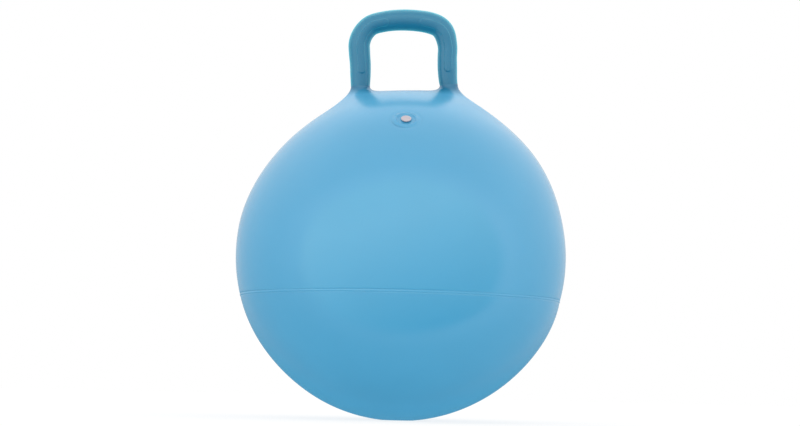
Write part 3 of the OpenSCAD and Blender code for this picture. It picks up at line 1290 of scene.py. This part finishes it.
    def lamp(self, scene, name, place, target, size, power):
        """A soft square lamp that shows in no reflection."""
        data = bpy.data.lights.new(name, "AREA")
        data.shape = "SQUARE"
        data.size = size
        data.energy = power
        lamp = bpy.data.objects.new(name, data)
        lamp.location = place
        lamp.rotation_euler = (Vector(target) - Vector(place)).to_track_quat("-Z", "Y").to_euler()
        lamp.visible_glossy = False
        scene.collection.objects.link(lamp)

    def camera(self, scene, stage, ball):
        """A camera low over the floor that frames the ball as the photograph does."""
        # Where the ball's middle and outline lie in the photograph, in pixels
        middle_x, middle_y, outline_radius = 400.8, 257.0, 165.0
        turn = stage.camera_turn
        place = Vector((-math.sin(turn), -math.cos(turn), 0)) * stage.camera_distance
        place.z = stage.camera_height
        middle = Vector((0, 0, middle_height(ball)))
        away = (middle - place).length
        focal = outline_radius * math.sqrt(away ** 2 - ball.radius ** 2) / ball.radius
        data = bpy.data.cameras.new("photo_camera")
        data.sensor_width = 36
        data.lens = focal * data.sensor_width / PHOTO_WIDTH
        # The ball's middle lies to one side of the frame's middle, as the rolled camera sees it
        off = Vector((middle_x - PHOTO_WIDTH / 2, PHOTO_HEIGHT / 2 - middle_y)) / focal
        aim = (middle - place).to_track_quat("-Z", "Y").to_matrix()
        roll = Matrix.Rotation(stage.camera_roll, 3, "Z")
        pitch = Matrix.Rotation(math.atan(-off.y), 3, "X")
        yaw = Matrix.Rotation(math.atan(off.x), 3, "Y")
        camera = bpy.data.objects.new("photo_camera", data)
        camera.matrix_world = Matrix.Translation(place) @ (aim @ roll @ pitch @ yaw).to_4x4()
        scene.collection.objects.link(camera)
        scene.camera = camera

    def execute(self, context):
        scene = context.scene
        stage = scene.hopper_stage
        scene.view_settings.view_transform = "Standard"
        self.floor(scene)
        self.sky(scene, stage.tent_light)
        self.lamp(
            scene, "front_softbox", place=(-0.8, -2.6, 0.95), target=(0, 0, 0.25), size=1.6,
            power=stage.front_power,
        )
        self.camera(scene, stage, scene.hopper_ball)
        return {"FINISHED"}


class HOPPER_PT_panel(bpy.types.Panel):
    """Lists the ball's sizes, its colours and its pieces"""

    bl_label = "Hopper Ball"
    bl_idname = "HOPPER_PT_panel"
    bl_space_type = "VIEW_3D"
    bl_region_type = "UI"
    bl_category = "Hopper Ball"

    def draw(self, context):
        for group in GROUPS:
            settings = getattr(context.scene, group)
            box = self.layout.box()
            for name in settings.__annotations__:
                box.prop(settings, name)
        for operator in OPERATORS:
            self.layout.operator(operator.bl_idname)


GROUPS = {
    "hopper_ball": BallShape,
    "hopper_handle": HandleShape,
    "hopper_valve": ValveShape,
    "hopper_finish": Finish,
    "hopper_stage": StageSettings,
}
OPERATORS = (
    HOPPER_OT_upper_skin,
    HOPPER_OT_lower_skin,
    HOPPER_OT_seam,
    HOPPER_OT_handle,
    HOPPER_OT_valve_seat,
    HOPPER_OT_plug,
    HOPPER_OT_stage,
)


def register():
    """Makes the settings, operators and panel known to Blender."""
    for name, group in GROUPS.items():
        bpy.utils.register_class(group)
        setattr(bpy.types.Scene, name, PointerProperty(type=group))
    for operator in OPERATORS:
        bpy.utils.register_class(operator)
    bpy.utils.register_class(HOPPER_PT_panel)


def unregister():
    """Takes them away again."""
    bpy.utils.unregister_class(HOPPER_PT_panel)
    for operator in OPERATORS:
        bpy.utils.unregister_class(operator)
    for name, group in GROUPS.items():
        delattr(bpy.types.Scene, name)
        bpy.utils.unregister_class(group)


def main():
    """Builds every piece and the stage."""
    register()
    for operator in OPERATORS:
        group, name = operator.bl_idname.split(".")
        getattr(getattr(bpy.ops, group), name)()


if __name__ == "__main__":
    main()
